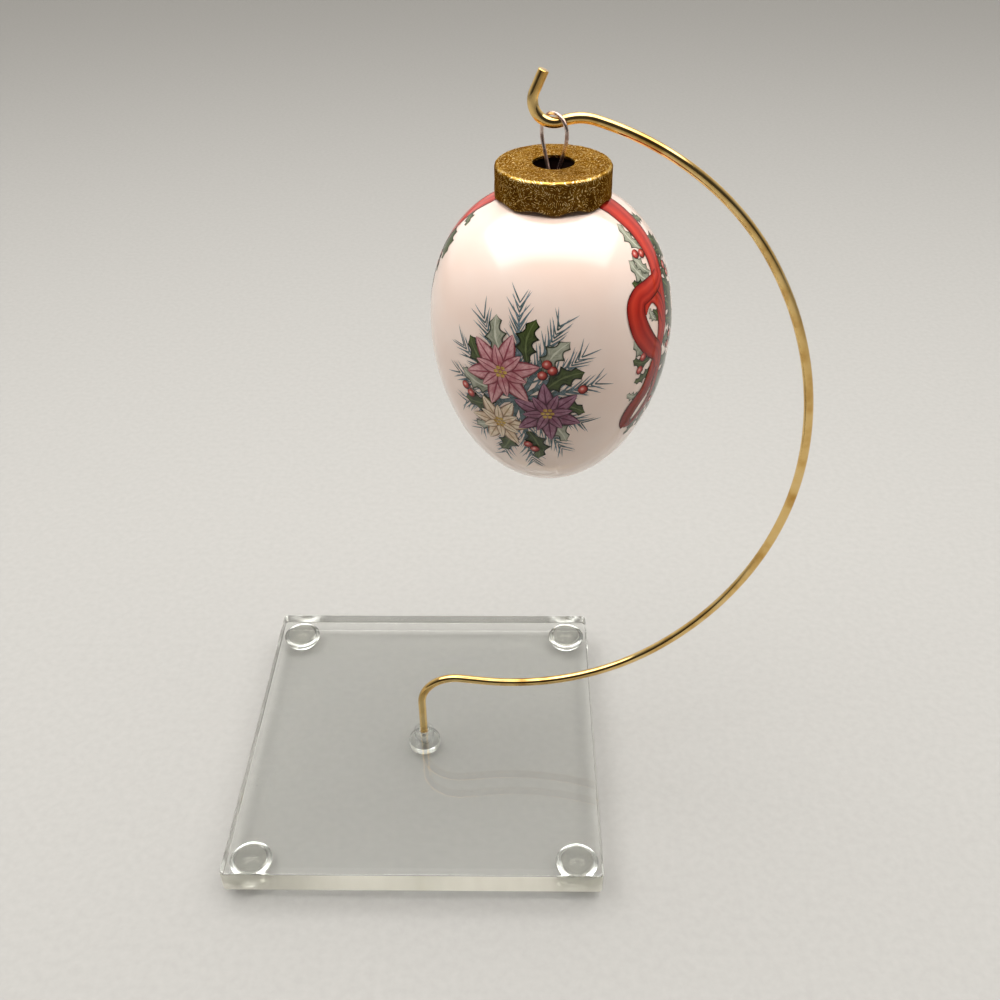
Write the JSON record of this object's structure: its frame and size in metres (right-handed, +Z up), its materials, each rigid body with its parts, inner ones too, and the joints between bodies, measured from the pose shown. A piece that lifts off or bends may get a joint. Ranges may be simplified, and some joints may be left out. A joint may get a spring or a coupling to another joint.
{
  "type": "egg ornament on wire stand",
  "caption": "Egg-shaped porcelain ornament with a pressed brass cap, hung by a wire loop from the hook of a bent brass wire that swivels in a clear square plate on bumper feet.",
  "frame": {"origin": "bottom centre of the bounding box, on the surface that the feet stand on; the wire's post is 21.3 mm from it along -X", "axes": "+Z up along the post, +X from the post towards the bow of the wire, +Y to the back"},
  "size_m": [0.1314, 0.0888, 0.1764],
  "materials": {
    "clear_acrylic": "clear, polished",
    "clear_bumper": "clear, soft",
    "polished_brass": "polished",
    "antique_brass": "pressed swirl texture, darkened",
    "spring_wire": "bright drawn wire",
    "glazed_porcelain": "white glaze over printed decoration"
  },
  "bodies": {
    "base": {"base_plate": "clear_acrylic", "foot_front_left": "clear_bumper", "foot_front_right": "clear_bumper", "foot_rear_left": "clear_bumper", "foot_rear_right": "clear_bumper", "socket_bush": "clear_acrylic"},
    "arm": {"stand_wire": "polished_brass"},
    "hanger": {"hanger_wire": "spring_wire"},
    "cap": {"ornament_cap": "antique_brass"},
    "egg": {"egg_body": "glazed_porcelain"}
  },
  "joints": [
    {"name": "arm_swivel", "type": "hinge", "parent": "base", "child": "arm", "pos_m": [-0.02129, 0, 0.0093], "axis": [0, 0, 1], "continuous": true},
    {"name": "ornament_swing", "type": "hinge", "parent": "arm", "child": "hanger", "pos_m": [0.00982, 0, 0.16683], "axis": [1, 0, 0], "range_deg": [-30, 30]},
    {"name": "ornament_turn", "type": "hinge", "parent": "hanger", "child": "cap", "pos_m": [0.00982, 0, 0.15973], "axis": [0, 0, 1], "continuous": true},
    {"name": "egg_pull_off", "type": "slide", "parent": "cap", "child": "egg", "axis": [0, 0, -1], "range_m": [0, 0.02]}
  ]
}
